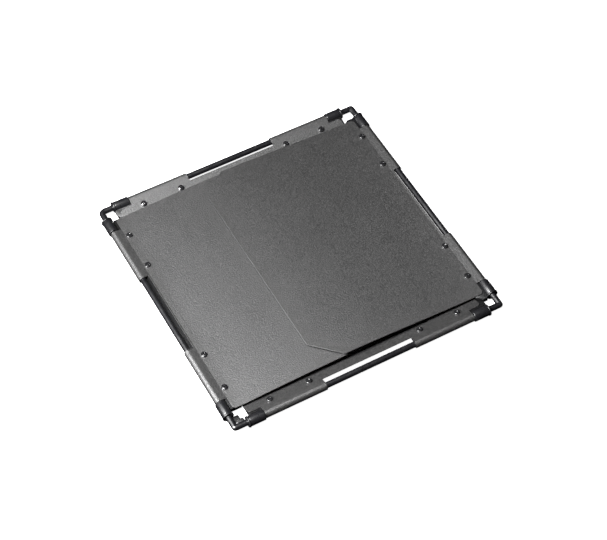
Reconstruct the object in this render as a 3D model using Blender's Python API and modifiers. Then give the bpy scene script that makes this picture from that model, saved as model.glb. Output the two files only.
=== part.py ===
"""Four-leaf barn door for a square panel light.

Four bent-rod corners and four straight rods make a square frame.  Sleeves join them, and a
leaf of sheet metal is rolled round each rod and clamped from below, so that it turns stiffly.
Metres, +Z up.  The origin is under the middle of the frame, on the surface it lies on.
"""

from math import acos, atan2, cos, hypot, pi, radians, sin

import bmesh
import bpy
from mathutils import Matrix, Vector

# Driving dimensions, in metres.
HALF_FRAME = 0.134            # from the middle to a rod's axis
ROD_RADIUS = 0.0028
GAP = 0.0003                  # clearance between pieces that touch
SHEET = 0.0008                # leaf thickness

COLLAR_START = 0.1060         # along the rod, from the middle of the side
COLLAR_END = 0.1203
COLLAR_RADIUS = 0.0049
RING_LENGTH = 0.0014
RING_RADIUS = 0.0054
ROD_HALF_LENGTH = 0.1130

LEAF_HALF_WIDTH = 0.1178      # half of a leaf's side that runs along its rod
SLOT_HALF_LENGTH = 0.0450     # middle stretch where the rod is bare
NOTCH_START = 0.1054          # along the rod
NOTCH_DEPTH = 0.0072          # from the rod's axis
BOW_START = 0.0140            # where the flat sheet starts to rise
ROLL_END_ANGLE = 250.0        # degrees round the rod, from the leaf's side
CORNER_CUT = 0.0022           # small corner cut beside each sleeve

CLAMP_START = 0.0465
CLAMP_DEPTH = 0.0159
CLAMP_BOTTOM = -0.0034        # below the rod's axis
CLAMP_INNER = 0.0048          # from the rod's axis to the bar's near face
CLAMP_LIP_ROOT = 0.0005       # below the rod's axis, where the lip leaves that face
CLAMP_FOOT = 0.0070           # where the lip's outer side meets the bar's bottom
CLAMP_LIP_START_ANGLE = 263.0

SCREW_PLACES = (0.0561, 0.0949)   # along the rod, each side of the middle
SCREW_INSET = 0.01035             # from the rod's axis
SCREW_RADIUS = 0.0015
SCREW_HEAD_RADIUS = 0.0029
SCREW_HEAD_HEIGHT = 0.0020
SCREW_TIP = -0.0042               # below the rod's axis
SCREW_POINT = 0.0004              # chamfer at the shank's end
RECESS_HALF_LENGTH = 0.0016
RECESS_HALF_WIDTH = 0.00035
RECESS_DEPTH = 0.0009

AXIS_HEIGHT = RING_RADIUS
ROLL_INNER = ROD_RADIUS + GAP
ROLL_OUTER = ROLL_INNER + SHEET
REACH = 0.4                       # cutter size that passes through everything
THROUGH = 0.06                    # cutter height that passes through a leaf
CUT_MARGIN = 0.010                # how far a cutter runs past a free edge

# Each leaf: quarter turns from the front side, length from its rod to its free edge, inset of
# the bend where its slope from the roll turns flat, height of its flat top over the rods' axes,
# how far it rises past that, over what length and how late, depth of its slot from the rod's
# axis, where its clamp ends along the rod at either end, whether that clamp is one bar, and the
# 45 degree corner cut of its free end, or none where its sides taper instead.
LEAVES = {
    "front": dict(turns=0, length=0.088, bend=0.0190, top=-0.0016, rise=0.0, bow=0.0, late=1.0,
                  slot=0.0065, clamp_ends=(0.1174, 0.1230), whole_clamp=False, corner_cut=None),
    "right": dict(turns=1, length=0.1755, bend=0.0070, top=0.0030, rise=0.0058, bow=0.148, late=1.6,
                  slot=0.0048, clamp_ends=(0.1230, 0.1213), whole_clamp=False, corner_cut=0.0245),
    "back": dict(turns=2, length=0.088, bend=0.0190, top=-0.0016, rise=0.0, bow=0.0, late=1.0,
                 slot=0.0065, clamp_ends=(0.1195, 0.1220), whole_clamp=False, corner_cut=None),
    "left": dict(turns=3, length=0.1410, bend=0.0070, top=0.0027, rise=0.0029, bow=0.112, late=1.0,
                 slot=0.0057, clamp_ends=(0.1185, 0.1165), whole_clamp=True, corner_cut=0.0215),
}
TAPER_START = 0.0185              # along a tapered leaf's side, from the rod's axis
TAPER_SLOPE = 1.2                 # inward run for each unit of length

# Each corner: signs of its X and Y, and its bend or end chamfer.
CORNERS = {
    "front_left": (-1, -1, "mitred", 0.0005),
    "front_right": (1, -1, "mitred", 0.0014),
    "back_right": (1, 1, "mitred", 0.0010),
    "back_left": (-1, 1, "bent", 0.0034),
}

BUTT_STEP = 0.0001                # how much thinner the arm is that butts into the other
BUTT_DEPTH = 0.0004               # how far it runs past the other arm's axis

TAB_WIDE = 0.1252                 # the fixing tab's edges, from the middle of the frame
TAB_STEP_START = 0.1260
TAB_STEP_END = 0.1262
TAB_NARROW = 0.1270
TAB_THICKNESS = 0.0012
TAB_DROP = 0.0018                 # below the rods' axes
TAB_HOLE_PLACE = 0.1296
TAB_HOLE_RADIUS = 0.0010

POWDER_BLACK = (0.045, 0.045, 0.048)
ROD_BLACK = (0.020, 0.020, 0.022)
SLEEVE_BLACK = (0.030, 0.030, 0.033)
SCREW_BLACK = (0.012, 0.012, 0.013)


def clear_scene():
    for thing in list(bpy.data.objects):
        bpy.data.objects.remove(thing, do_unlink=True)


def make_collection(name):
    collection = bpy.data.collections.new(name)
    bpy.context.scene.collection.children.link(collection)
    return collection


def make_material(name, colour, roughness, metallic):
    material = bpy.data.materials.new(name)
    material.use_nodes = True
    shader = material.node_tree.nodes["Principled BSDF"]
    shader.inputs["Base Color"].default_value = (*colour, 1.0)
    shader.inputs["Roughness"].default_value = roughness
    shader.inputs["Metallic"].default_value = metallic
    return material


def add_object(name, mesh, collection, material=None):
    thing = bpy.data.objects.new(name, mesh)
    collection.objects.link(thing)
    if material is not None:
        mesh.materials.clear()
        mesh.materials.append(material)
    return thing


def mesh_from_bmesh(name, shape):
    mesh = bpy.data.meshes.new(name)
    bmesh.ops.recalc_face_normals(shape, faces=shape.faces)
    shape.to_mesh(mesh)
    shape.free()
    return mesh


def make_cutter(name, mesh):
    cutter = add_object(name, mesh, CUTTERS)
    cutter.hide_render = True
    cutter.display_type = "WIRE"
    return cutter


def box_mesh(name, low, high):
    """A box between two corners."""
    shape = bmesh.new()
    bmesh.ops.create_cube(shape, size=1.0)
    size = Vector(high) - Vector(low)
    middle = (Vector(high) + Vector(low)) / 2
    bmesh.ops.transform(shape, matrix=Matrix.Translation(middle) @ Matrix.Diagonal((*size, 1.0)),
                        verts=shape.verts)
    return mesh_from_bmesh(name, shape)


def cylinder_mesh(name, radius, length, sides):
    """A cylinder along Z about its own middle."""
    shape = bmesh.new()
    bmesh.ops.create_cone(shape, cap_ends=True, segments=sides, radius1=radius, radius2=radius,
                          depth=length)
    return mesh_from_bmesh(name, shape)


def turned_mesh(name, profile, steps, closed):
    """Turn a profile of (radius, height) points about Z, outer side from top to bottom."""
    shape = bmesh.new()
    points = [shape.verts.new((radius, 0.0, height)) for radius, height in profile]
    for first, second in zip(points, points[1:]):
        shape.edges.new((first, second))
    if closed:
        shape.edges.new((points[-1], points[0]))
    mesh = bpy.data.meshes.new(name)
    shape.to_mesh(mesh)
    shape.free()
    return add_screw_turn(name, mesh, steps)


def add_screw_turn(name, mesh, steps):
    """Apply the turn, so that copies and cuts share one plain mesh."""
    guide = bpy.data.objects.new(name + "_profile", mesh)
    CUTTERS.objects.link(guide)
    turn = guide.modifiers.new("turn", "SCREW")
    turn.axis = "Z"
    turn.angle = 2 * pi
    turn.steps = steps
    turn.render_steps = steps
    turn.use_merge_vertices = True
    turn.merge_threshold = 0.00001
    turned = evaluated_mesh(guide, name)
    bpy.data.objects.remove(guide, do_unlink=True)
    return turned


def evaluated_mesh(thing, name):
    """The object's evaluated mesh, in its own space, with loose caps welded."""
    graph = bpy.context.evaluated_depsgraph_get()
    graph.update()
    mesh = bpy.data.meshes.new_from_object(thing.evaluated_get(graph))
    mesh.name = name
    shape = bmesh.new()
    shape.from_mesh(mesh)
    bmesh.ops.remove_doubles(shape, verts=shape.verts, dist=0.000005)
    bmesh.ops.recalc_face_normals(shape, faces=shape.faces)
    shape.to_mesh(mesh)
    shape.free()
    return mesh


def smooth_rounds(mesh, degrees=35.0):
    mesh.shade_smooth()
    mesh.set_sharp_from_angle(angle=radians(degrees))


def outline_mesh(name, points, thickness):
    """A flat outline in its own XY plane, thickened evenly along Z."""
    curve = bpy.data.curves.new(name, "CURVE")
    curve.dimensions = "2D"
    curve.fill_mode = "BOTH"
    curve.extrude = thickness / 2
    spline = curve.splines.new("POLY")
    spline.points.add(len(points) - 1)
    for place, (x, y) in zip(spline.points, points):
        place.co = (x, y, 0.0, 1.0)
    spline.use_cyclic_u = True
    guide = bpy.data.objects.new(name + "_outline", curve)
    CUTTERS.objects.link(guide)
    mesh = evaluated_mesh(guide, name)
    bpy.data.objects.remove(guide, do_unlink=True)
    return mesh


def cut(thing, cutter, operation="DIFFERENCE"):
    change = thing.modifiers.new(operation.lower(), "BOOLEAN")
    change.operation = operation
    change.solver = "EXACT"
    change.object = cutter


def side_matrix(turns):
    """From a side's own frame to the world: X along its rod, Y inward, Z up, axis at zero."""
    turn = Matrix.Rotation(turns * pi / 2, 4, "Z")
    return turn @ Matrix.Translation((0.0, -HALF_FRAME, AXIS_HEIGHT))


def place(thing, matrix):
    thing.location = matrix.to_translation()
    thing.rotation_euler = matrix.to_euler()


def tangent_angle(radius, inset, height):
    """Angle on a circle round the rod where a line from (inset, height) touches it."""
    return atan2(height, inset) + acos(radius / hypot(inset, height))


def roll_points(radius, start, end, count):
    """Points round the rod from one angle to another, in the side's own (inset, height)."""
    angles = [start + (end - start) * index / count for index in range(count + 1)]
    return [(radius * cos(angle), radius * sin(angle)) for angle in angles]


def slope_angle(leaf):
    """Direction across the slope that joins the roll to the bend, seen along the rod."""
    return tangent_angle(ROLL_OUTER, leaf["bend"], leaf["top"])


def sheet_height(leaf, inset, depth):
    """Height, at an inset, of the surface this far under the slope's or the flat's top."""
    across = slope_angle(leaf)
    slope = (ROLL_OUTER - depth - inset * cos(across)) / sin(across)
    return max(slope, leaf["top"] - depth)


def leaf_profile(leaf):
    """The leaf's outer face from its free edge to the end of its roll."""
    bend_count = 9
    points = []
    if leaf["rise"]:
        for index in range(bend_count, 0, -1):
            part = index / bend_count
            inset = BOW_START + leaf["bow"] * part
            share = sin(part * pi / 2) ** leaf["late"]
            points.append((inset, leaf["top"] + leaf["rise"] * share))
        points.append((BOW_START, leaf["top"]))
    if leaf["length"] > BOW_START + leaf["bow"] + SHEET:
        points.insert(0, (leaf["length"], leaf["top"] + leaf["rise"]))
    points.append((leaf["bend"], leaf["top"]))
    points += roll_points(ROLL_OUTER, slope_angle(leaf), radians(ROLL_END_ANGLE), 11)
    return points


def leaf_sheet(name, leaf):
    """The rolled sheet before it is cut: an open strip with even thickness."""
    shape = bmesh.new()
    verts = [shape.verts.new((-LEAF_HALF_WIDTH, inset, height))
             for inset, height in leaf_profile(leaf)]
    edges = [shape.edges.new(pair) for pair in zip(verts, verts[1:])]
    swept = bmesh.ops.extrude_edge_only(shape, edges=edges)
    far_side = [item for item in swept["geom"] if isinstance(item, bmesh.types.BMVert)]
    bmesh.ops.translate(shape, vec=(2 * LEAF_HALF_WIDTH, 0.0, 0.0), verts=far_side)
    bmesh.ops.recalc_face_normals(shape, faces=shape.faces)
    free_end = max(shape.faces, key=lambda face: face.calc_center_median().y)
    if free_end.normal.z < 0:
        bmesh.ops.reverse_faces(shape, faces=shape.faces)
    mesh = bpy.data.meshes.new(name)
    shape.to_mesh(mesh)
    shape.free()
    return mesh


def leaf_cut_outlines(leaf):
    """Flat outlines of what is cut from the sheet, as (along, inset) points."""
    outside = -2 * ROLL_OUTER
    past = LEAF_HALF_WIDTH + CUT_MARGIN
    slot = [(-SLOT_HALF_LENGTH, outside), (SLOT_HALF_LENGTH, outside),
            (SLOT_HALF_LENGTH, leaf["slot"]), (-SLOT_HALF_LENGTH, leaf["slot"])]
    notch = [(NOTCH_START, outside), (past, outside), (past, NOTCH_DEPTH + 4 * CORNER_CUT),
             (LEAF_HALF_WIDTH, NOTCH_DEPTH + CORNER_CUT),
             (LEAF_HALF_WIDTH - CORNER_CUT, NOTCH_DEPTH), (NOTCH_START, NOTCH_DEPTH)]
    outlines = [slot, notch, mirrored(notch)]
    if leaf["corner_cut"] is None:
        inner = LEAF_HALF_WIDTH - (leaf["length"] - TAPER_START) * TAPER_SLOPE
        end = [(LEAF_HALF_WIDTH, TAPER_START), (past, TAPER_START),
               (past, leaf["length"] + CUT_MARGIN),
               (inner - CUT_MARGIN * TAPER_SLOPE, leaf["length"] + CUT_MARGIN)]
    else:
        inner = LEAF_HALF_WIDTH - leaf["corner_cut"]
        end = [(past, leaf["length"] - leaf["corner_cut"] - CUT_MARGIN),
               (past, leaf["length"] + CUT_MARGIN),
               (inner - CUT_MARGIN, leaf["length"] + CUT_MARGIN)]
    return outlines + [end, mirrored(end)]


def mirrored(points):
    return [(-x, y) for x, y in reversed(points)]


def screw_places():
    return [sign * along for sign in (-1, 1) for along in SCREW_PLACES]


def screw_matrix(leaf, along):
    """A screw's own frame: Z square to the sheet, its origin on the sheet's top."""
    on_slope = SCREW_INSET < leaf["bend"]
    tilt = slope_angle(leaf) - pi / 2 if on_slope else 0.0
    seat = Vector((along, SCREW_INSET, sheet_height(leaf, SCREW_INSET, 0.0)))
    return side_matrix(leaf["turns"]) @ Matrix.Translation(seat) @ Matrix.Rotation(tilt, 4, "X")


def cut_screw_holes(thing, name, leaf, places):
    for index, along in enumerate(places):
        hole = make_cutter(f"{name}_hole_{index + 1}",
                           cylinder_mesh("hole", SCREW_RADIUS + GAP, THROUGH / 2, 14))
        place(hole, screw_matrix(leaf, along))
        cut(thing, hole)


def make_leaf(side, leaf):
    name = f"{side}_leaf"
    matrix = side_matrix(leaf["turns"])
    thing = add_object(name, leaf_sheet(name, leaf), PARTS, LEAF_MATERIAL)
    shell = thing.modifiers.new("sheet", "SOLIDIFY")
    shell.thickness = SHEET
    shell.offset = -1.0
    shell.use_even_offset = True
    place(thing, matrix)
    for index, points in enumerate(leaf_cut_outlines(leaf)):
        cutter = make_cutter(f"{name}_cut_{index + 1}", outline_mesh("cut", points, THROUGH))
        place(cutter, matrix)
        cut(thing, cutter)
    cut_screw_holes(thing, name, leaf, screw_places())


def clamp_outline(leaf):
    """Cross-section of the bar under a leaf, with its lip round the bottom of the rod."""
    under = SHEET + GAP
    across = slope_angle(leaf)
    bend = (ROLL_OUTER - under - (leaf["top"] - under) * sin(across)) / cos(across)
    insets = [CLAMP_DEPTH, bend, CLAMP_INNER] if bend < CLAMP_DEPTH else [CLAMP_DEPTH, CLAMP_INNER]
    points = [(CLAMP_DEPTH, CLAMP_BOTTOM)]
    points += [(inset, sheet_height(leaf, inset, under)) for inset in insets]
    points.append((CLAMP_INNER, -CLAMP_LIP_ROOT))
    lip_start = radians(CLAMP_LIP_START_ANGLE)
    inner_end = 2 * pi - tangent_angle(ROLL_INNER, CLAMP_INNER, CLAMP_LIP_ROOT)
    outer_end = 2 * pi - tangent_angle(ROLL_OUTER, CLAMP_FOOT, -CLAMP_BOTTOM)
    points += reversed(roll_points(ROLL_INNER, lip_start, inner_end, 4))
    points += roll_points(ROLL_OUTER, lip_start, outer_end, 4)
    points.append((CLAMP_FOOT, CLAMP_BOTTOM))
    return points


def cut_clamp_end(thing, name, matrix, sign):
    """Clear the collar and its ring, and mitre the corner towards the next side's bar."""
    mitre = HALF_FRAME - 2 * GAP
    mitre_cut = [(mitre, 0.0), (mitre + CUT_MARGIN, 0.0), (mitre + CUT_MARGIN, 2 * CLAMP_DEPTH),
                 (mitre - 2 * CLAMP_DEPTH, 2 * CLAMP_DEPTH)]
    if sign < 0:
        mitre_cut = mirrored(mitre_cut)
    meshes = [outline_mesh("mitre", mitre_cut, THROUGH)]
    beside = ((NOTCH_START, COLLAR_RADIUS + GAP), (COLLAR_END, RING_RADIUS + GAP))
    for start, clear in beside:
        low, high = sorted((sign * start, sign * REACH))
        meshes.append(box_mesh("relief", (low, -THROUGH, -THROUGH), (high, clear, THROUGH)))
    for index, mesh in enumerate(meshes):
        cutter = make_cutter(f"{name}_end_{index + 1}_{'b' if sign > 0 else 'a'}", mesh)
        place(cutter, matrix)
        cut(thing, cutter)


def make_clamp(name, leaf, start, end, signs):
    """The bar's outline lies in (inset, height), so it is stood up along the rod."""
    matrix = side_matrix(leaf["turns"])
    mesh = outline_mesh(name, clamp_outline(leaf), end - start)
    stand = Matrix(((0, 0, 1, 0), (1, 0, 0, 0), (0, 1, 0, 0), (0, 0, 0, 1)))
    mesh.transform(Matrix.Translation(((start + end) / 2, 0.0, 0.0)) @ stand)
    thing = add_object(name, mesh, PARTS, CLAMP_MATERIAL)
    place(thing, matrix)
    for sign in signs:
        cut_clamp_end(thing, name, matrix, sign)
    places = [along for along in screw_places() if start < along < end]
    cut_screw_holes(thing, name, leaf, places)


def make_clamps(side, leaf):
    end_a, end_b = leaf["clamp_ends"]
    if leaf["whole_clamp"]:
        make_clamp(f"{side}_clamp_bar", leaf, -end_a, end_b, (-1, 1))
    else:
        make_clamp(f"{side}_clamp_bar_a", leaf, -end_a, -CLAMP_START, (-1,))
        make_clamp(f"{side}_clamp_bar_b", leaf, CLAMP_START, end_b, (1,))


def screw_mesh(leaf, along):
    """Pan-head screw: low crowned head on a plain shank."""
    matrix = screw_matrix(leaf, along)
    above_tip = matrix.to_translation().z - AXIS_HEIGHT - SCREW_TIP
    tip = -above_tip / matrix.col[2].z
    under = GAP / 2
    crown = [(SCREW_HEAD_RADIUS * sin(part), SCREW_HEAD_HEIGHT * (0.45 + 0.55 * cos(part)))
             for part in (0.0, radians(32), radians(62), radians(90))]
    profile = [(radius, under + height) for radius, height in crown]
    profile += [(SCREW_HEAD_RADIUS, under), (SCREW_RADIUS, under),
                (SCREW_RADIUS, tip + SCREW_POINT), (SCREW_RADIUS - SCREW_POINT, tip), (0.0, tip)]
    return turned_mesh("screw", profile, 16, closed=False)


def make_screw(side, leaf, index, along):
    """One screw, with a cross recess in its head."""
    name = f"{side}_screw_{index}"
    matrix = screw_matrix(leaf, along)
    thing = add_object(name, screw_mesh(leaf, along), PARTS, SCREW_MATERIAL)
    place(thing, matrix)
    floor = SCREW_HEAD_HEIGHT - RECESS_DEPTH
    turn = Matrix.Rotation(radians(40.0 + 25.0 * index), 4, "Z")
    slots = ((RECESS_HALF_LENGTH, RECESS_HALF_WIDTH), (RECESS_HALF_WIDTH, RECESS_HALF_LENGTH))
    for part, (x, y) in enumerate(slots):
        mesh = box_mesh("recess", (-x, -y, floor), (x, y, floor + 2 * SCREW_HEAD_HEIGHT))
        recess = make_cutter(f"{name}_recess_{part + 1}", mesh)
        place(recess, matrix @ turn)
        cut(thing, recess)
    smooth_rounds(thing.data)


def sleeve_profile(radius, start, end, chamfer):
    """A tube's closed section: down the outer side and up the bore."""
    return [(radius - chamfer, end), (radius, end - chamfer), (radius, start + chamfer),
            (radius - chamfer, start), (ROLL_INNER, start), (ROLL_INNER, end)]


def lay_along_rod():
    """Turns a piece from standing on Z to lying along the side's own X."""
    return Matrix.Rotation(pi / 2, 4, "Y")


def make_sleeve(name, turns, sign, start, end, radius, chamfer, material):
    half = (end - start) / 2
    mesh = turned_mesh(name, sleeve_profile(radius, -half, half, chamfer), 20, closed=True)
    thing = add_object(name, mesh, PARTS, material)
    smooth_rounds(mesh)
    middle = Matrix.Translation((sign * (start + half), 0.0, 0.0))
    place(thing, side_matrix(turns) @ middle @ lay_along_rod())


def make_rod(side, turns):
    name = f"{side}_rod"
    mesh = cylinder_mesh(name, ROD_RADIUS, 2 * ROD_HALF_LENGTH, 24)
    thing = add_object(name, mesh, PARTS, ROD_MATERIAL)
    smooth_rounds(mesh)
    place(thing, side_matrix(turns) @ lay_along_rod())


def bent_elbow(name, sign_x, sign_y, bend):
    """A rod with a round bend, drawn in the world from one sleeve to the other."""
    arm = HALF_FRAME - ROD_HALF_LENGTH - GAP
    arc = [(bend * (1 - sin(angle)), bend * (1 - cos(angle)))
           for angle in (radians(90.0 * step / 8) for step in range(9))]
    route = [(arm, 0.0)] + arc + [(0.0, arm)]
    curve = bpy.data.curves.new(name, "CURVE")
    curve.dimensions = "3D"
    curve.bevel_depth = ROD_RADIUS
    curve.bevel_resolution = 8
    curve.use_fill_caps = True
    spline = curve.splines.new("POLY")
    spline.points.add(len(route) - 1)
    for point, (inward_x, inward_y) in zip(spline.points, route):
        point.co = (sign_x * (HALF_FRAME - inward_x), sign_y * (HALF_FRAME - inward_y), 0.0, 1.0)
    guide = bpy.data.objects.new(name + "_route", curve)
    CUTTERS.objects.link(guide)
    mesh = evaluated_mesh(guide, name)
    bpy.data.objects.remove(guide, do_unlink=True)
    return mesh


def mitred_elbow(name, sign_x, sign_y, chamfer):
    """An arm along X that runs out to a square corner, and an arm along Y that butts into it."""
    start = ROD_HALF_LENGTH + GAP
    length = HALF_FRAME + ROD_RADIUS - start
    profile = [(0.0, length), (ROD_RADIUS - chamfer, length), (ROD_RADIUS, length - chamfer),
               (ROD_RADIUS, 0.0), (0.0, 0.0)]
    arm = turned_mesh(name, profile, 20, closed=False)
    lay_x = Matrix.Rotation(sign_x * pi / 2, 4, "Y")
    arm.transform(Matrix.Translation((sign_x * start, sign_y * HALF_FRAME, 0.0)) @ lay_x)
    butt_length = HALF_FRAME + BUTT_DEPTH - start
    butt = cylinder_mesh(name, ROD_RADIUS - BUTT_STEP, butt_length, 20)
    middle = start + butt_length / 2
    lay_y = Matrix.Rotation(pi / 2, 4, "X")
    butt.transform(Matrix.Translation((sign_x * HALF_FRAME, sign_y * middle, 0.0)) @ lay_y)
    return arm, butt


def make_elbow(corner):
    sign_x, sign_y, kind, size = CORNERS[corner]
    name = f"{corner}_elbow"
    if kind == "bent":
        mesh = bent_elbow(name, sign_x, sign_y, size)
        thing = add_object(name, mesh, PARTS, ROD_MATERIAL)
    else:
        mesh, second = mitred_elbow(name, sign_x, sign_y, size)
        thing = add_object(name, mesh, PARTS, ROD_MATERIAL)
        other = make_cutter(f"{name}_arm", second)
        other.location.z = AXIS_HEIGHT
        cut(thing, other, "UNION")
    thing.location.z = AXIS_HEIGHT
    smooth_rounds(mesh)


def make_corner_tab():
    """Drilled L-shaped plate inside the front left corner, for the lamp's retaining screw."""
    name = "front_left_fixing_tab"
    inner = HALF_FRAME - ROD_RADIUS + GAP
    end = COLLAR_END + RING_LENGTH + 3 * GAP
    points = [(-inner, -inner), (-end, -inner), (-end, -TAB_NARROW), (-TAB_STEP_END, -TAB_NARROW),
              (-TAB_WIDE, -TAB_STEP_START), (-TAB_WIDE, -end), (-inner, -end)]
    thing = add_object(name, outline_mesh(name, points, TAB_THICKNESS), PARTS, CLAMP_MATERIAL)
    thing.location.z = AXIS_HEIGHT - TAB_DROP
    hole = make_cutter(f"{name}_hole", cylinder_mesh("hole", TAB_HOLE_RADIUS, THROUGH, 14))
    hole.location = (-TAB_HOLE_PLACE, -TAB_HOLE_PLACE, AXIS_HEIGHT)
    cut(thing, hole)


def make_side(side, leaf):
    make_rod(side, leaf["turns"])
    for end, sign in (("a", -1), ("b", 1)):
        make_sleeve(f"{side}_sleeve_{end}", leaf["turns"], sign, COLLAR_START, COLLAR_END,
                    COLLAR_RADIUS, 0.0003, SLEEVE_MATERIAL)
        ring_start = COLLAR_END + GAP
        make_sleeve(f"{side}_stop_ring_{end}", leaf["turns"], sign, ring_start,
                    ring_start + RING_LENGTH, RING_RADIUS, 0.0002, SLEEVE_MATERIAL)
    make_clamps(side, leaf)
    make_leaf(side, leaf)
    for index, along in enumerate(screw_places()):
        make_screw(side, leaf, index + 1, along)


clear_scene()
PARTS = make_collection("barn_door")
CUTTERS = make_collection("cutters")
LEAF_MATERIAL = make_material("leaf_powder_coat", POWDER_BLACK, 0.55, 0.2)
CLAMP_MATERIAL = make_material("clamp_powder_coat", POWDER_BLACK, 0.6, 0.2)
ROD_MATERIAL = make_material("rod_black", ROD_BLACK, 0.3, 0.4)
SLEEVE_MATERIAL = make_material("sleeve_black", SLEEVE_BLACK, 0.35, 0.3)
SCREW_MATERIAL = make_material("screw_black", SCREW_BLACK, 0.2, 0.7)

for side_name, side_leaf in LEAVES.items():
    make_side(side_name, side_leaf)
for corner_name in CORNERS:
    make_elbow(corner_name)
make_corner_tab()
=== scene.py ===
"""Looks of the folded four-leaf barn door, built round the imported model.

Every piece is rebuilt finer than its solid, in the solid's own place: sheet metal with rounded cut
edges, turned sleeves and rings, and cross-recess screws.  Metres, +Z up, as in the frame.
"""

from math import acos, atan2, cos, hypot, pi, radians, sin, tan

import bmesh
import bpy
import numpy as np
from mathutils import Matrix, Vector


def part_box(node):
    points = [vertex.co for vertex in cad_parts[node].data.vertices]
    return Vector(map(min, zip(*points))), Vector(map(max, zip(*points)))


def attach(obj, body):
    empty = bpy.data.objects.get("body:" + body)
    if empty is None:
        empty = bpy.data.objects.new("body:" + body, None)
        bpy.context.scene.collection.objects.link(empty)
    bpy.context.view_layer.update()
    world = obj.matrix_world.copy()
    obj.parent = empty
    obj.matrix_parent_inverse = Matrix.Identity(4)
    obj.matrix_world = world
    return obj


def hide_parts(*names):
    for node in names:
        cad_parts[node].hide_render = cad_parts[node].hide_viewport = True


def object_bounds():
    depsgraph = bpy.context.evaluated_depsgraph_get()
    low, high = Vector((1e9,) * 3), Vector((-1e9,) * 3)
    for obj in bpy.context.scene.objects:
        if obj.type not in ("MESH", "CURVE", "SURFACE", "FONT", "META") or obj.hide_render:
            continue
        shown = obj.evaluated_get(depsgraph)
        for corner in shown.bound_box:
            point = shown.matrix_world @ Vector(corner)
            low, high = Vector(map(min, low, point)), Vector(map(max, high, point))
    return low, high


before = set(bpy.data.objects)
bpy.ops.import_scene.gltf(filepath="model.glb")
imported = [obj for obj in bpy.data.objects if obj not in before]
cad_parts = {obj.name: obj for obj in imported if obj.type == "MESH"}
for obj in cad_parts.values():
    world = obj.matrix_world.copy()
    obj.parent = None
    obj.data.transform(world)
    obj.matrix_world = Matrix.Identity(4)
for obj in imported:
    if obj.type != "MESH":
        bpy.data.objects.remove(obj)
CAD_LOW, CAD_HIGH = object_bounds()

# Dimensions read from the frame.
ROD_LOW, ROD_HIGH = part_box("front_rod")
HALF_FRAME = -(ROD_LOW.y + ROD_HIGH.y) / 2
AXIS_HEIGHT = (ROD_LOW.z + ROD_HIGH.z) / 2
ROD_RADIUS = (ROD_HIGH.z - ROD_LOW.z) / 2
ROD_HALF_LENGTH = ROD_HIGH.x
SLEEVE_LOW, SLEEVE_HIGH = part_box("front_sleeve_b")
RING_LOW, RING_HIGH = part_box("front_stop_ring_b")
SLEEVE_RADIUS = (SLEEVE_HIGH.z - SLEEVE_LOW.z) / 2
RING_RADIUS = (RING_HIGH.z - RING_LOW.z) / 2
LEAF_HALF_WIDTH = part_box("front_leaf")[1].x
TAB_LOW, TAB_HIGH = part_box("front_left_fixing_tab")

# The solids' other dimensions.
GAP = 0.0003
SHEET = 0.0008
ROLL_INNER = ROD_RADIUS + GAP
ROLL_OUTER = ROLL_INNER + SHEET
BOW_START = 0.0140
ROLL_END_ANGLE = radians(250.0)
SLOT_HALF_LENGTH = 0.0450
NOTCH_START = 0.1054
NOTCH_DEPTH = 0.0072
CORNER_CUT = 0.0022
CLAMP_DEPTH = 0.0159
CLAMP_BOTTOM = -0.0034
CLAMP_INNER = 0.0048
CLAMP_LIP_ROOT = 0.0005
CLAMP_FOOT = 0.0070
CLAMP_LIP_START = radians(263.0)
SCREW_PLACES = (0.0561, 0.0949)
SCREW_INSET = 0.01035
SCREW_RADIUS = 0.0015
SCREW_HOLE_RADIUS = SCREW_RADIUS + GAP / 2
SCREW_HEAD_RADIUS = 0.0029
SCREW_HEAD_HEIGHT = 0.0020
SCREW_TIP = -0.0042
TAPER_START = 0.0185
TAPER_SLOPE = 1.2
TAB_STEP = (-0.1270, -0.1252)
TAB_CORNER = 0.0004
TAB_HOLE = -0.1296
TAB_HOLE_RADIUS = 0.0010

# Fine details that the solids leave out.
CROWN_RADIUS = 0.0062
CROWN_EDGE = 69.0
HEAD_CORNER = 0.00072
THREAD_PITCH = 0.0005
THREAD_DEPTH = 0.00027
ROD_END_ROUND = 0.0003
SLEEVE_RIM = 0.00035
RING_RIM = 0.00028

# How finely the meshes are cut, and how far a cutter reaches past what it cuts.
LEAF_STEP = 0.006
CROSS_STEP = 0.012
ROLL_STEPS = 40
MERGE = 0.000002
CUTTER_REACH = 0.02

# The one lamp, to the left, then the camera's place, heading, downward tilt, roll and lens.
SOFTBOX_PLACE = (-0.80, -0.03, 1.00)
SOFTBOX_SIZE = (0.35, 1.1)
SOFTBOX_POWER = 60.0
CAMERA_PLACE = (-0.4792, -0.8734, 1.3237)
CAMERA_HEADING = radians(-29.105)
CAMERA_DIP = radians(53.311)
CAMERA_ROLL = radians(0.165)
CAMERA_LENS = 107.27

# Quarter turns from the front side, where the leaf's slope turns flat and how high over the rods'
# axes, the length over which it bows upward and how late, its slot's depth and its corner cut.
SIDES = {
    "front": dict(turns=0, bend=0.0190, top=-0.0016, bow=0.0, late=1.0, slot=0.0065, cut=None),
    "right": dict(turns=1, bend=0.0070, top=0.0030, bow=0.148, late=1.6, slot=0.0048, cut=0.0245),
    "back": dict(turns=2, bend=0.0190, top=-0.0016, bow=0.0, late=1.0, slot=0.0065, cut=None),
    "left": dict(turns=3, bend=0.0070, top=0.0027, bow=0.112, late=1.0, slot=0.0057, cut=0.0215),
}
# Each corner's two directions, and its elbow's radius and the points round it: three are mitred
# and one is bent.
CORNERS = {
    "front_left": (-1, -1, 0.0006, 5),
    "front_right": (1, -1, 0.0006, 5),
    "back_right": (1, 1, 0.0006, 5),
    "back_left": (-1, 1, 0.0034, 14),
}


# ---------------------------------------------------------------- meshes

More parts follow.
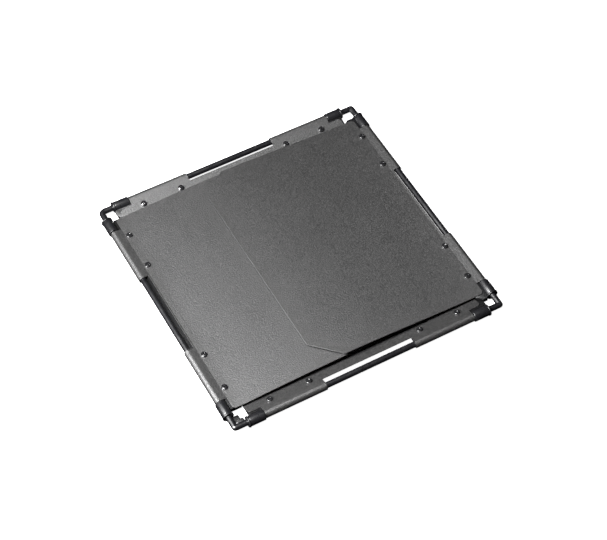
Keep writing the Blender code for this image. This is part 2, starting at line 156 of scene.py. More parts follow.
def side_matrix(side):
    """From a side's own frame to the world: X along its rod, Y inward, Z up, axis at zero."""
    turn = Matrix.Rotation(SIDES[side]["turns"] * pi / 2, 4, "Z")
    return turn @ Matrix.Translation((0.0, -HALF_FRAME, AXIS_HEIGHT))


def leaf_sizes(side):
    """Length from the rod's axis, and how far the leaf bows up past its flat top."""
    low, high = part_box(f"{side}_leaf")
    reach = {"front": high.y + HALF_FRAME, "back": HALF_FRAME - low.y,
             "left": high.x + HALF_FRAME, "right": HALF_FRAME - low.x}[side]
    rise = high.z - AXIS_HEIGHT - SIDES[side]["top"] if SIDES[side]["bow"] else 0.0
    return reach, rise


def mesh_object(name, shape, material, matrix=None):
    """A new object from a bmesh, which it uses up."""
    mesh = bpy.data.meshes.new(name)
    shape.to_mesh(mesh)
    shape.free()
    if matrix is not None:
        mesh.transform(matrix)
    mesh.materials.append(material)
    thing = bpy.data.objects.new(name, mesh)
    bpy.context.scene.collection.objects.link(thing)
    return thing


def smooth(thing, degrees=32.0):
    """Smooth shading, except across edges that turn more than this."""
    thing.data.shade_smooth()
    thing.data.set_sharp_from_angle(angle=radians(degrees))


def bevel(thing, width, degrees=50.0):
    """Rounds the edges that turn more than this."""
    change = thing.modifiers.new("edges", "BEVEL")
    change.width = width
    change.segments = 2
    change.limit_method = "ANGLE"
    change.angle_limit = radians(degrees)
    change.use_clamp_overlap = False
    change.miter_outer = "MITER_ARC"


def solidify(thing, thickness):
    """Gives a flat or bent sheet its thickness, downwards."""
    change = thing.modifiers.new("sheet", "SOLIDIFY")
    change.thickness = thickness
    change.offset = -1.0
    change.use_even_offset = True


def cut(thing, cutters, use_self=False):
    """Takes each cutter out of a solid."""
    for cutter in cutters:
        change = thing.modifiers.new("cut", "BOOLEAN")
        change.object = cutter
        change.solver = "EXACT"
        change.use_self = use_self


def remove(things):
    """Takes helper objects out of the scene."""
    for thing in things:
        bpy.data.objects.remove(thing, do_unlink=True)


def apply_modifiers(thing):
    """Replaces an object's mesh with what its modifiers make of it."""
    graph = bpy.context.evaluated_depsgraph_get()
    graph.update()
    mesh = bpy.data.meshes.new_from_object(thing.evaluated_get(graph))
    old = thing.data
    thing.modifiers.clear()
    thing.data = mesh
    bpy.data.meshes.remove(old)


def finish_piece(thing, body, slot, *nodes):
    """Makes a piece move with its body and stand for its solids."""
    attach(thing, body)
    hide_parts(*nodes)
    return thing


def rounded(corners, steps=5):
    """A closed outline from (x, y, corner radius), its corners turned into arcs."""
    points = []
    for index, (x, y, radius) in enumerate(corners):
        here = Vector((x, y))
        if radius == 0.0:
            points.append((x, y))
            continue
        back = (Vector(corners[index - 1][:2]) - here).normalized()
        ahead = (Vector(corners[(index + 1) % len(corners)][:2]) - here).normalized()
        half = back.angle(ahead) / 2
        start = here + back * radius / tan(half)
        end = here + ahead * radius / tan(half)
        centre = here + (back + ahead).normalized() * radius / sin(half)
        for step in range(steps + 1):
            share = step / steps
            arm = (start - centre).lerp(end - centre, share).normalized() * radius
            points.append(tuple(centre + arm))
    return points


def circle_points(x, y, radius, count=24):
    """A closed outline round a hole."""
    return [(x + radius * cos(2 * pi * i / count), y + radius * sin(2 * pi * i / count))
            for i in range(count)]


def filled(loops):
    """A flat triangulated face with holes, normals up."""
    shape = bmesh.new()
    edges = []
    for loop in loops:
        verts = [shape.verts.new((x, y, 0.0)) for x, y in loop]
        edges += [shape.edges.new((verts[i - 1], verts[i])) for i in range(len(verts))]
    bmesh.ops.triangle_fill(shape, edges=edges, use_beauty=True, use_dissolve=False)
    for face in shape.faces:
        face.normal_update()
        if face.normal.z < 0:
            face.normal_flip()
    return shape


def slice_shape(shape, axis, places):
    """Adds edges across a flat shape, so that it can be bent there."""
    normal = Vector((1, 0, 0)) if axis == 0 else Vector((0, 1, 0))
    for place in places:
        bmesh.ops.bisect_plane(shape, geom=shape.verts[:] + shape.edges[:] + shape.faces[:],
                               dist=MERGE, plane_co=normal * place, plane_no=normal)


def turned(profile, steps, closed):
    """A profile of (radius, height) points turned about Z."""
    shape = bmesh.new()
    verts = [shape.verts.new((radius, 0.0, height)) for radius, height in profile]
    edges = [shape.edges.new(pair) for pair in zip(verts, verts[1:])]
    if closed:
        edges.append(shape.edges.new((verts[-1], verts[0])))
    bmesh.ops.spin(shape, geom=verts + edges, axis=(0, 0, 1), cent=(0, 0, 0), steps=steps,
                   angle=2 * pi, use_merge=True)
    bmesh.ops.remove_doubles(shape, verts=shape.verts, dist=MERGE)
    bmesh.ops.recalc_face_normals(shape, faces=shape.faces)
    return shape


def extruded(corners, along):
    """A flat face with these corners, drawn out along a vector into a solid."""
    shape = bmesh.new()
    face = shape.faces.new([shape.verts.new(corner) for corner in corners])
    made = bmesh.ops.extrude_face_region(shape, geom=[face])
    moved = [item for item in made["geom"] if isinstance(item, bmesh.types.BMVert)]
    bmesh.ops.translate(shape, vec=along, verts=moved)
    bmesh.ops.recalc_face_normals(shape, faces=shape.faces)
    return shape


def box_shape(low, high):
    """A box between two corners."""
    shape = bmesh.new()
    bmesh.ops.create_cube(shape, size=1.0)
    size, middle = Vector(high) - Vector(low), (Vector(high) + Vector(low)) / 2
    bmesh.ops.transform(shape, matrix=Matrix.Translation(middle) @ Matrix.Diagonal((*size, 1)),
                        verts=shape.verts)
    return shape


def arc(centre_x, centre_y, radius, start, end, steps):
    """Points on an arc, angles in degrees."""
    return [(centre_x + radius * cos(radians(start + (end - start) * i / steps)),
             centre_y + radius * sin(radians(start + (end - start) * i / steps)))
            for i in range(steps + 1)]


# ---------------------------------------------------------------- leaves

def tangent_angle(radius, inset, height):
    """Angle on a circle round the rod where a line from (inset, height) touches it."""
    return atan2(height, inset) + acos(radius / hypot(inset, height))


def slope_angle(side):
    """Direction across the slope that joins the roll to the bend, seen along the rod."""
    return tangent_angle(ROLL_OUTER, SIDES[side]["bend"], SIDES[side]["top"])


def sheet_height(side, inset, depth):
    """Height, at an inset, of the surface this far under the slope's or the flat's top."""
    across = slope_angle(side)
    slope = (ROLL_OUTER - depth - inset * cos(across)) / sin(across)
    return max(slope, SIDES[side]["top"] - depth)


class LeafProfile:
    """Where a point of the flat pattern lies once the leaf is rolled, bent and bowed."""

    def __init__(self, side):
        self.length, self.rise = leaf_sizes(side)
        self.top = SIDES[side]["top"]
        self.bend = SIDES[side]["bend"]
        self.bow = SIDES[side]["bow"]
        self.late = SIDES[side]["late"]
        self.touch = slope_angle(side)
        self.touch_point = Vector((ROLL_OUTER * cos(self.touch), ROLL_OUTER * sin(self.touch)))
        self.ramp = (Vector((self.bend, self.top)) - self.touch_point).length
        self.roll = ROLL_OUTER * (ROLL_END_ANGLE - self.touch)
        self.end = self.bend - self.ramp - self.roll

    def pattern_place(self, inset):
        """The flat pattern's place of a point on the slope or the flat."""
        if inset >= self.bend:
            return inset
        return self.bend - self.ramp * (self.bend - inset) / (self.bend - self.touch_point.x)

    def point(self, place):
        """(inset, height) of the outer face at a place along the flat pattern."""
        if place >= self.bend:
            share = 0.0
            if self.bow:
                share = min(max((place - BOW_START) / self.bow, 0.0), 1.0)
            return place, self.top + self.rise * sin(share * pi / 2) ** self.late
        run = self.bend - place
        if run <= self.ramp:
            spot = Vector((self.bend, self.top)).lerp(self.touch_point, run / self.ramp)
            return spot.x, spot.y
        angle = self.touch + (run - self.ramp) / ROLL_OUTER
        return ROLL_OUTER * cos(angle), ROLL_OUTER * sin(angle)

    def stations(self):
        """Places where the flat pattern is cut across, so that its bends come out round."""
        places = [self.end + self.roll * i / ROLL_STEPS for i in range(1, ROLL_STEPS + 1)]
        places += [self.bend - self.ramp * i / 3 for i in range(3)]
        start = max(self.bend + 0.0012, BOW_START)
        count = max(2, round((self.length - start) / LEAF_STEP))
        places += [start + (self.length - start) * i / count for i in range(count)]
        return places


def leaf_outline(side, profile):
    """The flat pattern: half of it, from the slot to the free edge, and its mirror image."""
    slot = profile.pattern_place(SIDES[side]["slot"])
    notch = profile.pattern_place(NOTCH_DEPTH)
    half = [
        (SLOT_HALF_LENGTH, slot, 0.0007), (SLOT_HALF_LENGTH, profile.end, 0.0005),
        (NOTCH_START, profile.end, 0.0005), (NOTCH_START, notch, 0.0005),
        (LEAF_HALF_WIDTH - CORNER_CUT, notch, 0.0008),
        (LEAF_HALF_WIDTH, profile.pattern_place(NOTCH_DEPTH + CORNER_CUT), 0.0008),
    ]
    corner = SIDES[side]["cut"]
    if corner is None:
        inner = LEAF_HALF_WIDTH - (profile.length - TAPER_START) * TAPER_SLOPE
        half += [(LEAF_HALF_WIDTH, TAPER_START, 0.0010), (inner, profile.length, 0.0015)]
    else:
        half += [(LEAF_HALF_WIDTH, profile.length - corner, 0.0012),
                 (LEAF_HALF_WIDTH - corner, profile.length, 0.0012)]
    mirrored = [(-x, y, radius) for x, y, radius in reversed(half)]
    return rounded(half + mirrored)


def sheet_wave(u, v, seed):
    """Slight unevenness of pressed sheet, between nothing and its depth downwards, in metres."""
    depth = 0.00006
    broad = sin(u * 31.0 + seed) * cos(v * 27.0 + 2.1 * seed)
    slant = 0.6 * sin(u * 53.0 - v * 47.0 + seed)
    return -depth * (1.6 - (broad + slant)) / 3.2


def make_leaf(side, material):
    """Cuts the flat pattern and its screw holes, then rolls, bends and bows the sheet."""
    profile = LeafProfile(side)
    seat = profile.pattern_place(SCREW_INSET)
    holes = [circle_points(along, seat, SCREW_HOLE_RADIUS) for along in screw_places()]
    shape = filled([leaf_outline(side, profile)] + holes)
    slice_shape(shape, 1, profile.stations())
    slice_shape(shape, 0, [CROSS_STEP * i for i in range(-9, 10)])
    seed = 1.7 * SIDES[side]["turns"]
    for vert in shape.verts:
        along, place = vert.co.x, vert.co.y
        inset, height = profile.point(place)
        fade = min(max((place - profile.bend - 0.002) / 0.01, 0.0), 1.0)
        vert.co = (along, inset, height + fade * sheet_wave(along, place, seed))
    leaf = mesh_object(f"{side}_leaf_sheet", shape, material, side_matrix(side))
    solidify(leaf, SHEET)
    bevel(leaf, 0.00010)
    apply_modifiers(leaf)
    smooth(leaf, 6.0)
    return finish_piece(leaf, f"{side}_door", "leaf", f"{side}_leaf")


# ---------------------------------------------------------------- clamp bars

def clamp_outline(side):
    """Cross-section (inset, height) of the bar under a leaf, with its lip round the rod."""
    under = SHEET + GAP
    across = slope_angle(side)
    bend = (ROLL_OUTER - under - (SIDES[side]["top"] - under) * sin(across)) / cos(across)
    insets = [CLAMP_DEPTH, bend, CLAMP_INNER] if bend < CLAMP_DEPTH else [CLAMP_DEPTH, CLAMP_INNER]
    inner_end = 2 * pi - tangent_angle(ROLL_INNER, CLAMP_INNER, CLAMP_LIP_ROOT)
    outer_end = 2 * pi - tangent_angle(ROLL_OUTER, CLAMP_FOOT, -CLAMP_BOTTOM)
    inner = [(ROLL_INNER * cos(a), ROLL_INNER * sin(a)) for a in
             np.linspace(inner_end, CLAMP_LIP_START, 12)]
    outer = [(ROLL_OUTER * cos(a), ROLL_OUTER * sin(a)) for a in
             np.linspace(CLAMP_LIP_START, outer_end, 12)]
    return ([(CLAMP_DEPTH, CLAMP_BOTTOM)] + [(i, sheet_height(side, i, under)) for i in insets]
            + [(CLAMP_INNER, -CLAMP_LIP_ROOT)] + inner + outer + [(CLAMP_FOOT, CLAMP_BOTTOM)])


def clamp_span(side, node):
    """Where the frame's bar starts and ends along its rod, in the side's own frame."""
    low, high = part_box(node)
    back = side_matrix(side).inverted()
    ends = sorted((back @ low, back @ high), key=lambda point: point.x)
    return ends[0].x, ends[1].x


def clamp_end_cutters(sign):
    """Room for the collar and its ring, and a mitre towards the next side's bar."""
    reach = CUTTER_REACH
    shapes = []
    for start, clear in ((NOTCH_START, SLEEVE_RADIUS + GAP), (SLEEVE_HIGH.x, RING_RADIUS + GAP)):
        low, high = sorted((sign * start, sign * (HALF_FRAME + reach)))
        shapes.append(box_shape((low, -reach, -reach), (high, clear, reach)))
    mitre = HALF_FRAME - 2 * GAP
    corners = [(mitre, 0.0), (mitre + reach, 0.0), (mitre + reach, reach), (mitre - reach, reach)]
    shapes.append(extruded([(sign * x, y, -reach) for x, y in corners], (0, 0, 2 * reach)))
    return shapes


def screw_hole():
    """What a screw takes out of a bar, in the screw's own frame."""
    reach = CUTTER_REACH
    return turned([(0.0, reach), (SCREW_HOLE_RADIUS, reach), (SCREW_HOLE_RADIUS, -reach),
                   (0.0, -reach)], 24, closed=False)


def make_clamp(side, node, material):
    """Draws out the bar's section, then cuts its end and its screw holes."""
    start, stop = clamp_span(side, node)
    shape = extruded([(start, y, z) for y, z in clamp_outline(side)], (stop - start, 0, 0))
    bar = mesh_object(f"{node}_cast", shape, material)
    cutters = []
    for sign in (-1, 1):
        if start < sign * NOTCH_START < stop:
            cutters += [mesh_object("end", cutter, material) for cutter in clamp_end_cutters(sign)]
    for along in screw_places():
        if start < along < stop:
            cutters.append(mesh_object("hole", screw_hole(), material, screw_seat(side, along)))
    cut(bar, cutters)
    bevel(bar, 0.00018, degrees=40.0)
    apply_modifiers(bar)
    remove(cutters)
    bar.data.transform(side_matrix(side))
    smooth(bar)
    return finish_piece(bar, f"{side}_door", "clamp", node)


# ---------------------------------------------------------------- screws

def screw_places():
    """The four screws' places along a rod: inner and outer on one half, then on the other."""
    return [sign * along for sign in (-1, 1) for along in SCREW_PLACES]


def screw_tilt(side):
    """How far a screw leans, to stand square to the sheet it goes through."""
    return slope_angle(side) - pi / 2 if SCREW_INSET < SIDES[side]["bend"] else 0.0


def screw_seat(side, along):
    """From a screw's own frame, its origin on the sheet's top, to the side's."""
    seat = Vector((along, SCREW_INSET, sheet_height(side, SCREW_INSET, 0.0)))
    return Matrix.Translation(seat) @ Matrix.Rotation(screw_tilt(side), 4, "X")


def screw_profile(side):
    """Pan head with a crowned top and rounded rim, then a threaded shank."""
    seat = 0.00002
    tip = (SCREW_TIP - sheet_height(side, SCREW_INSET, 0.0)) / cos(screw_tilt(side)) + 0.0004
    crown = arc(0.0, SCREW_HEAD_HEIGHT - CROWN_RADIUS, CROWN_RADIUS, 90, CROWN_EDGE, 6)
    rim = arc(SCREW_HEAD_RADIUS - HEAD_CORNER, crown[-1][1] - 0.00062, HEAD_CORNER, 58, 0, 6)
    points = crown + rim + [(SCREW_HEAD_RADIUS - 0.00008, seat), (SCREW_RADIUS, seat)]
    z = seat - THREAD_PITCH
    while z > tip + THREAD_PITCH:
        points += [(SCREW_RADIUS, z), (SCREW_RADIUS, z - 0.00008),
                   (SCREW_RADIUS - THREAD_DEPTH, z - THREAD_PITCH / 2),
                   (SCREW_RADIUS, z - THREAD_PITCH + 0.00006)]
        z -= THREAD_PITCH
    points += [(SCREW_RADIUS - 0.0004, tip), (0.0, tip)]
    return points


def cross_cutter():
    """A cross-recess: two crossed blades that taper downwards."""
    above_head = (0.0006, 0.00036, 0.00185)
    at_head = (0.0, 0.00032, 0.00158)
    bottom = (-0.0013, 0.00022, 0.00062)
    shape = bmesh.new()
    for crossed in (False, True):
        rows = []
        for height, wide, long in (above_head, at_head, bottom):
            ring = [(long, wide), (-long, wide), (-long, -wide), (long, -wide)]
            if crossed:
                ring = [(-y, x) for x, y in ring]
            rows.append([shape.verts.new((x, y, SCREW_HEAD_HEIGHT + height)) for x, y in ring])
        for upper, lower in zip(rows, rows[1:]):
            for i in range(4):
                shape.faces.new((upper[i - 1], upper[i], lower[i], lower[i - 1]))
        shape.faces.new(rows[0])
        shape.faces.new(rows[-1][::-1])
    bmesh.ops.recalc_face_normals(shape, faces=shape.faces)
    return shape


def screw_mesh(side, material):
    """One screw's mesh in its own frame, for the four on a side."""
    screw = mesh_object("screw", turned(screw_profile(side), 40, closed=False), material)
    cutter = mesh_object("cross", cross_cutter(), material)
    cut(screw, [cutter], use_self=True)
    bevel(screw, 0.00006, degrees=38.0)
    apply_modifiers(screw)
    smooth(screw, 38.0)
    mesh = screw.data
    remove([cutter, screw])
    return mesh


def make_screws(side, material, chance):
    """Puts a side's screws in their seats, each with its recess turned its own way."""
    shared = screw_mesh(side, material)
    for index, along in enumerate(screw_places(), start=1):
        mesh = shared.copy()
        turn = Matrix.Rotation(chance.uniform(0.0, pi / 2), 4, "Z")
        mesh.transform(side_matrix(side) @ screw_seat(side, along) @ turn)
        screw = bpy.data.objects.new(f"{side}_screw_{index}_pan_head", mesh)
        bpy.context.scene.collection.objects.link(screw)
        finish_piece(screw, f"{side}_door", "screw", f"{side}_screw_{index}")


# ---------------------------------------------------------------- frame

def lay_along(side, middle):
    """From a turned shape's own frame to the world, its axis laid along a side's rod."""
    return side_matrix(side) @ Matrix.Translation((middle, 0.0, 0.0)) @ Matrix.Rotation(pi / 2, 4, "Y")


def make_rod(side, material):
    """A straight round bar with rounded ends."""
    half = ROD_HALF_LENGTH
    end = arc(ROD_RADIUS - ROD_END_ROUND, half - ROD_END_ROUND, ROD_END_ROUND, 90, 0, 4)
    mirrored = [(radius, -height) for radius, height in reversed(end)]
    profile = [(0.0, half)] + end + mirrored + [(0.0, -half)]
    rod = mesh_object(f"{side}_rod_bar", turned(profile, 48, closed=False), material,
                      lay_along(side, 0.0))
    smooth(rod)
    return finish_piece(rod, "frame", "rod", f"{side}_rod")


def tube_profile(outer, inner, half, lip):
    """A tube's wall with rounded rims, as (radius, height)."""
    top = arc(outer - lip, half - lip, lip, 90, 0, 5)
    bottom = arc(outer - lip, -half + lip, lip, 0, -90, 5)
    inside = arc(inner + lip, -half + lip, lip, -90, -180, 4)
    inside_top = arc(inner + lip, half - lip, lip, 180, 90, 4)
    return top + bottom + inside + inside_top


def make_tube(name, node, side, start, stop, radius, rim, material):
    """A short tube on a side's rod, between two places along it."""
    profile = tube_profile(radius, ROLL_INNER, abs(stop - start) / 2, rim)
    tube = mesh_object(name, turned(profile, 64, closed=True), material,
                       lay_along(side, (start + stop) / 2))
    smooth(tube)
    return finish_piece(tube, "frame", "sleeve", node)


def make_sleeve(side, end, sign, material):
    """The collar in a leaf's notch, where the rod meets an elbow."""
    node = f"{side}_sleeve_{end}"
    return make_tube(f"{node}_collar", node, side, sign * SLEEVE_LOW.x, sign * SLEEVE_HIGH.x,
                     SLEEVE_RADIUS, SLEEVE_RIM, material)


def make_ring(side, end, sign, material):
    """The wider ring at a collar's corner end."""
    node = f"{side}_stop_ring_{end}"
    return make_tube(f"{node}_washer", node, side, sign * RING_LOW.x, sign * RING_HIGH.x,
                     RING_RADIUS, RING_RIM, material)


def swept_route(route, radius, sides):
    """A capped round bar along a route of points."""
    shape = bmesh.new()
    rings = []
    for index, point in enumerate(route):
        before = route[max(index - 1, 0)]
        after = route[min(index + 1, len(route) - 1)]
        along = (after - before).normalized()
        if 0 < index < len(route) - 1:
            first, second = (point - before).normalized(), (after - point).normalized()
            stretch = 1 / max(cos(first.angle(second) / 2), 0.5)
        else:
            stretch = 1.0
        across = along.cross(Vector((0, 0, 1))).normalized()
        rings.append([shape.verts.new(point + radius * (across * cos(a) * stretch
                                                        + Vector((0, 0, 1)) * sin(a)))
                      for a in np.linspace(0, 2 * pi, sides, endpoint=False)])
    for low, high in zip(rings, rings[1:]):
        for i in range(sides):
            shape.faces.new((low[i - 1], low[i], high[i], high[i - 1]))
    shape.faces.new(rings[0])
    shape.faces.new(rings[-1][::-1])
    bmesh.ops.recalc_face_normals(shape, faces=shape.faces)
    return shape


def make_elbow(corner, material):
    """The short bar that joins two rods: mitred, or bent round."""
    sign_x, sign_y, turn_radius, points = CORNERS[corner]
    arm = HALF_FRAME - ROD_HALF_LENGTH - GAP
    bend = [(turn_radius * (1 - sin(a)), turn_radius * (1 - cos(a)))
            for a in np.linspace(0, pi / 2, points)]
    inward = [(arm, 0.0)] + bend + [(0.0, arm)]
    route = [Vector((sign_x * (HALF_FRAME - x), sign_y * (HALF_FRAME - y), AXIS_HEIGHT))
             for x, y in inward]
    elbow = mesh_object(f"{corner}_elbow_bar", swept_route(route, ROD_RADIUS, 40), material)
    smooth(elbow, 45.0)
    return finish_piece(elbow, "frame", "rod", f"{corner}_elbow")


def make_tab(material):
    """The small drilled plate inside the front left corner."""
    outer, inner = TAB_LOW.x, TAB_HIGH.x
    step_y, step_x = TAB_STEP
    outline = rounded([(outer, outer, 0.0), (inner, outer, TAB_CORNER), (inner, step_y, TAB_CORNER),
                       (step_x - 0.0010, step_y, 0.0006), (step_x, step_y + 0.0010, 0.0006),
                       (step_x, inner, TAB_CORNER), (outer, inner, TAB_CORNER)], steps=3)
    shape = filled([outline, circle_points(TAB_HOLE, TAB_HOLE, TAB_HOLE_RADIUS)])
    tab = mesh_object("front_left_fixing_tab_plate", shape, material,
                      Matrix.Translation((0.0, 0.0, TAB_HIGH.z)))
    solidify(tab, TAB_HIGH.z - TAB_LOW.z)
    bevel(tab, 0.00012)
    apply_modifiers(tab)
    smooth(tab)
    return finish_piece(tab, "frame", "clamp", "front_left_fixing_tab")


# ---------------------------------------------------------------- materials

class Nodes:
    """Short calls for building one material's nodes."""

    def __init__(self, name):
        self.material = bpy.data.materials.new(name)
        self.material.use_nodes = True
        self.tree = self.material.node_tree
        self.shader = self.tree.nodes["Principled BSDF"]
        self.place = self.tree.nodes.new("ShaderNodeTexCoord").outputs["Object"]

    def link(self, output, target):
        self.tree.links.new(output, target)

    def noise(self, scale, detail, rough):
        """Even noise through the solid, its scale per metre."""
        node = self.tree.nodes.new("ShaderNodeTexNoise")
        node.inputs["Scale"].default_value = scale
        node.inputs["Detail"].default_value = detail
        node.inputs["Roughness"].default_value = rough
        self.link(self.place, node.inputs["Vector"])
        return node.outputs["Fac"]

    def ramp(self, value, low, high, out_low, out_high):
        """Turns one range of values into another, and holds it at the ends."""
        node = self.tree.nodes.new("ShaderNodeMapRange")
        for socket, number in zip(("From Min", "From Max", "To Min", "To Max"),
                                  (low, high, out_low, out_high)):
            node.inputs[socket].default_value = number
        self.link(value, node.inputs["Value"])
        return node.outputs["Result"]

    def math(self, operation, first, second):
        """One output added to another, or multiplied by it."""
        node = self.tree.nodes.new("ShaderNodeMath")
        node.operation = operation
        self.link(first, node.inputs[0])
        self.link(second, node.inputs[1])
        return node.outputs["Value"]

    def mix(self, factor, first, second):
        """A colour between two, which are given as numbers or outputs."""
        node = self.tree.nodes.new("ShaderNodeMix")
        node.data_type = "RGBA"
        self.link(factor, node.inputs["Factor"])
        for socket, value in ((node.inputs[6], first), (node.inputs[7], second)):
            if isinstance(value, tuple):
                socket.default_value = (*value, 1.0)
            else:
                self.link(value, socket)
        return node.outputs[2]

    def edges(self, radius):
        """One where the surface turns sharply, such as on a cut edge, and zero elsewhere."""
        soft = self.tree.nodes.new("ShaderNodeBevel")
        soft.samples = 6
        soft.inputs["Radius"].default_value = radius
        hard = self.tree.nodes.new("ShaderNodeNewGeometry")
        dot = self.tree.nodes.new("ShaderNodeVectorMath")
        dot.operation = "DOT_PRODUCT"
        self.link(soft.outputs["Normal"], dot.inputs[0])
        self.link(hard.outputs["Normal"], dot.inputs[1])
        return self.ramp(dot.outputs["Value"], 0.98, 0.80, 0.0, 1.0)

    def bump(self, value, strength, distance, under=None):
        """A normal bumped by a value, on top of another bump if there is one."""
        node = self.tree.nodes.new("ShaderNodeBump")
        node.inputs["Strength"].default_value = strength
        node.inputs["Distance"].default_value = distance
        self.link(value, node.inputs["Height"])
        if under is not None:
            self.link(under, node.inputs["Normal"])
        return node.outputs["Normal"]

    def finish(self, colour, roughness, normal, **sockets):
        """Wires up the shader, with its even values set on its own sockets."""
        self.link(colour, self.shader.inputs["Base Color"])
        self.link(roughness, self.shader.inputs["Roughness"])
        self.link(normal, self.shader.inputs["Normal"])
        for name, value in sockets.items():
            self.shader.inputs[name.replace("_", " ")].default_value = value
        return self.material


def powder_coat(name, dark, light, rough, index):
    """Satin black powder coat: fine grain, orange peel, faint handling marks, worn cut edges."""
    make = Nodes(name)
    grain = make.noise(850.0, 3.0, 0.65)
    speck = make.noise(760.0, 2.0, 0.6)
    peel = make.noise(420.0, 1.0, 0.4)
    smudge = make.noise(22.0, 3.0, 0.55)
    body = make.mix(make.ramp(speck, 0.42, 0.60, 0.0, 1.0), dark, light)
    worn = make.math("MULTIPLY", make.edges(0.0003), make.ramp(smudge, 0.40, 0.62, 0.25, 1.0))
    colour = make.mix(worn, body, (0.022, 0.022, 0.023))
    roughness = make.math("ADD", make.ramp(grain, 0.3, 0.7, rough - 0.05, rough + 0.05),
                          make.ramp(smudge, 0.3, 0.7, -0.010, 0.010))
    normal = make.bump(grain, 1.0, 0.00030)
    normal = make.bump(peel, 0.20, 0.00008, normal)
    return make.finish(colour, roughness, normal, IOR=index, Specular_IOR_Level=1.0)


def gloss_black(name, dark, rough):
    """Smooth black enamel on a rod or sleeve: faint marks, rubbed rims."""
    make = Nodes(name)
    marks = make.noise(900.0, 3.0, 0.6)
    flow = make.noise(160.0, 2.0, 0.5)
    fine = make.noise(2200.0, 2.0, 0.6)
    body = make.mix(make.ramp(marks, 0.35, 0.7, 0.0, 1.0), dark,
                    tuple(channel * 2.2 for channel in dark))
    worn = make.math("MULTIPLY", make.edges(0.00035), make.ramp(flow, 0.42, 0.6, 0.1, 0.9))
    colour = make.mix(worn, body, (0.22, 0.22, 0.225))
    roughness = make.math("ADD", make.ramp(marks, 0.3, 0.7, rough - 0.03, rough + 0.05),
                          make.ramp(flow, 0.3, 0.7, -0.03, 0.04))
    normal = make.bump(fine, 0.2, 0.00002)
    normal = make.bump(flow, 0.3, 0.00006, normal)
    return make.finish(colour, roughness, normal, IOR=1.7, Specular_IOR_Level=0.9)


def screw_black():
    """Black oxide on turned steel: glossy, rubbed brighter round the recess."""
    make = Nodes("screw_black_oxide")
    fine = make.noise(3000.0, 2.0, 0.6)
    blotch = make.noise(900.0, 2.0, 0.5)
    body = make.mix(make.ramp(blotch, 0.35, 0.65, 0.0, 1.0), (0.010, 0.010, 0.011),
                    (0.024, 0.024, 0.026))
    worn = make.math("MULTIPLY", make.edges(0.00012), make.ramp(blotch, 0.4, 0.6, 0.2, 0.8))
    colour = make.mix(worn, body, (0.30, 0.30, 0.31))
    roughness = make.math("ADD", make.ramp(fine, 0.3, 0.7, 0.16, 0.22),
                          make.ramp(blotch, 0.3, 0.7, -0.03, 0.05))
    normal = make.bump(fine, 0.15, 0.00002)
    return make.finish(colour, roughness, normal, Metallic=0.2, IOR=1.9, Specular_IOR_Level=1.0)


# ---------------------------------------------------------------- stage

def make_floor():
    """A white table that shows white to the camera and throws no light up at the object."""
    shape = bmesh.new()
    bmesh.ops.create_grid(shape, x_segments=1, y_segments=1, size=6.0)
    material = bpy.data.materials.new("white_table")
    material.use_nodes = True
    shader = material.node_tree.nodes["Principled BSDF"]
    shader.inputs["Base Color"].default_value = (0.9, 0.9, 0.9, 1.0)
    shader.inputs["Roughness"].default_value = 1.0
    shader.inputs["Emission Color"].default_value = (1.0, 1.0, 1.0, 1.0)
    shader.inputs["Emission Strength"].default_value = 1.0
    floor = mesh_object("table", shape, material, Matrix.Translation((0.0, 0.0, CAD_LOW.z - 0.0002)))
    floor.visible_diffuse = False
    floor.visible_glossy = False


def make_world(above, below):
    """Soft light from above, little from below."""
    world = bpy.data.worlds.new("studio")
    bpy.context.scene.world = world
    world.use_nodes = True
    tree = world.node_tree
    background = tree.nodes["Background"]
    place = tree.nodes.new("ShaderNodeTexCoord")
    split = tree.nodes.new("ShaderNodeSeparateXYZ")
    level = tree.nodes.new("ShaderNodeMapRange")
    level.inputs["From Min"].default_value = -0.15
    level.inputs["From Max"].default_value = 0.35
    level.inputs["To Min"].default_value = below
    level.inputs["To Max"].default_value = above
    tree.links.new(place.outputs["Generated"], split.inputs["Vector"])
    tree.links.new(split.outputs["Z"], level.inputs["Value"])
    tree.links.new(level.outputs["Result"], background.inputs["Strength"])


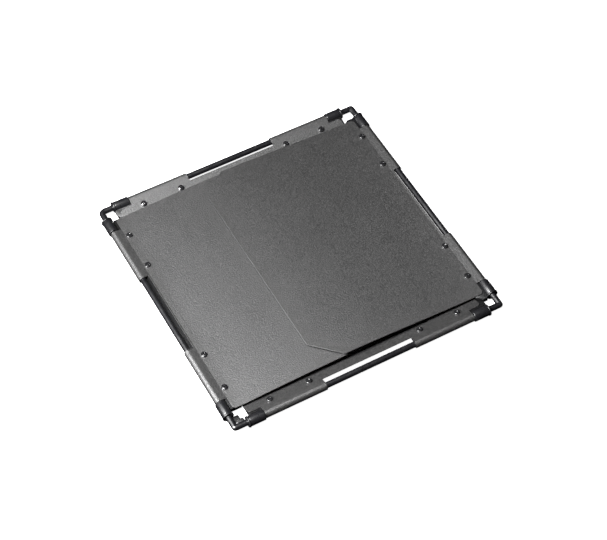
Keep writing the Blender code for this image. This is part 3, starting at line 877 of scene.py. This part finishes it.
def make_softbox(name, place, aim, size, power):
    """A rectangular light that faces a point."""
    data = bpy.data.lights.new(name, "AREA")
    data.shape = "RECTANGLE"
    data.size, data.size_y = size
    data.energy = power
    light = bpy.data.objects.new(name, data)
    bpy.context.scene.collection.objects.link(light)
    light.location = place
    light.rotation_euler = (Vector(aim) - Vector(place)).to_track_quat("-Z", "Y").to_euler()


def make_camera():
    """Looks down at the folded leaves from in front and to the left."""
    data = bpy.data.cameras.new("camera")
    data.sensor_width = 36.0
    data.lens = CAMERA_LENS
    data.clip_start = 0.1
    data.clip_end = 30.0
    camera = bpy.data.objects.new("camera", data)
    bpy.context.scene.collection.objects.link(camera)
    turn = (Matrix.Rotation(CAMERA_HEADING, 4, "Z") @ Matrix.Rotation(pi / 2 - CAMERA_DIP, 4, "X")
            @ Matrix.Rotation(CAMERA_ROLL, 4, "Z"))
    camera.matrix_world = Matrix.Translation(CAMERA_PLACE) @ turn
    bpy.context.scene.camera = camera


# ---------------------------------------------------------------- the object

LEAF_COAT = powder_coat("leaf_powder_coat", (0.002, 0.002, 0.002), (0.030, 0.0292, 0.0290), 0.47, 1.85)
CLAMP_COAT = powder_coat("clamp_powder_coat", (0.003, 0.003, 0.003), (0.007, 0.007, 0.008), 0.45, 1.4)
ROD_COAT = gloss_black("rod_enamel", (0.004, 0.004, 0.005), 0.30)
SLEEVE_COAT = gloss_black("sleeve_enamel", (0.006, 0.006, 0.007), 0.30)
SCREW_COAT = screw_black()

chance = np.random.default_rng(7)
for side in SIDES:
    make_rod(side, ROD_COAT)
    make_leaf(side, LEAF_COAT)
    make_screws(side, SCREW_COAT, chance)
    for end, sign in (("a", -1), ("b", 1)):
        make_sleeve(side, end, sign, SLEEVE_COAT)
        make_ring(side, end, sign, SLEEVE_COAT)
    bars = ("clamp_bar",) if side == "left" else ("clamp_bar_a", "clamp_bar_b")
    for bar in bars:
        make_clamp(side, f"{side}_{bar}", CLAMP_COAT)
for corner in CORNERS:
    make_elbow(corner, ROD_COAT)
make_tab(CLAMP_COAT)

make_floor()
make_world(above=0.07, below=0.01)
make_softbox("left_softbox", SOFTBOX_PLACE, (0.0, 0.0, 0.0), SOFTBOX_SIZE, SOFTBOX_POWER)
make_camera()
bpy.context.scene.view_settings.view_transform = "Standard"
